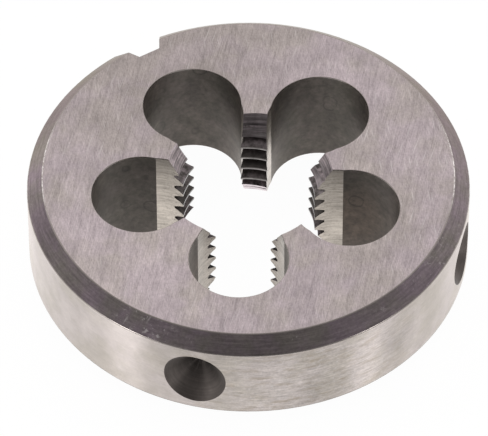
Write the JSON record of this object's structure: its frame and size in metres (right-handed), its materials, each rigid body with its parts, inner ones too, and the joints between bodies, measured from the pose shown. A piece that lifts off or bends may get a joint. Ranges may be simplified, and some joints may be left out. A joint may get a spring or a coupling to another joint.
{
  "type": "round threading die",
  "caption": "Flat round steel disc with chip holes around a threaded bore, a V-notch and conical screw seats in its rim, for cutting outside threads.",
  "frame": {"origin": "on the thread axis, in the bottom face", "axes": "+Z along the thread axis, up through the thickness; +Y towards the V-notch in the rim"},
  "size_m": [0.038, 0.0379, 0.01],
  "materials": {
    "ground_steel": "ground faces and rim, darker chamfers and drilled holes"
  },
  "bodies": {
    "root": {"die_body": "ground_steel"}
  },
  "joints": []
}
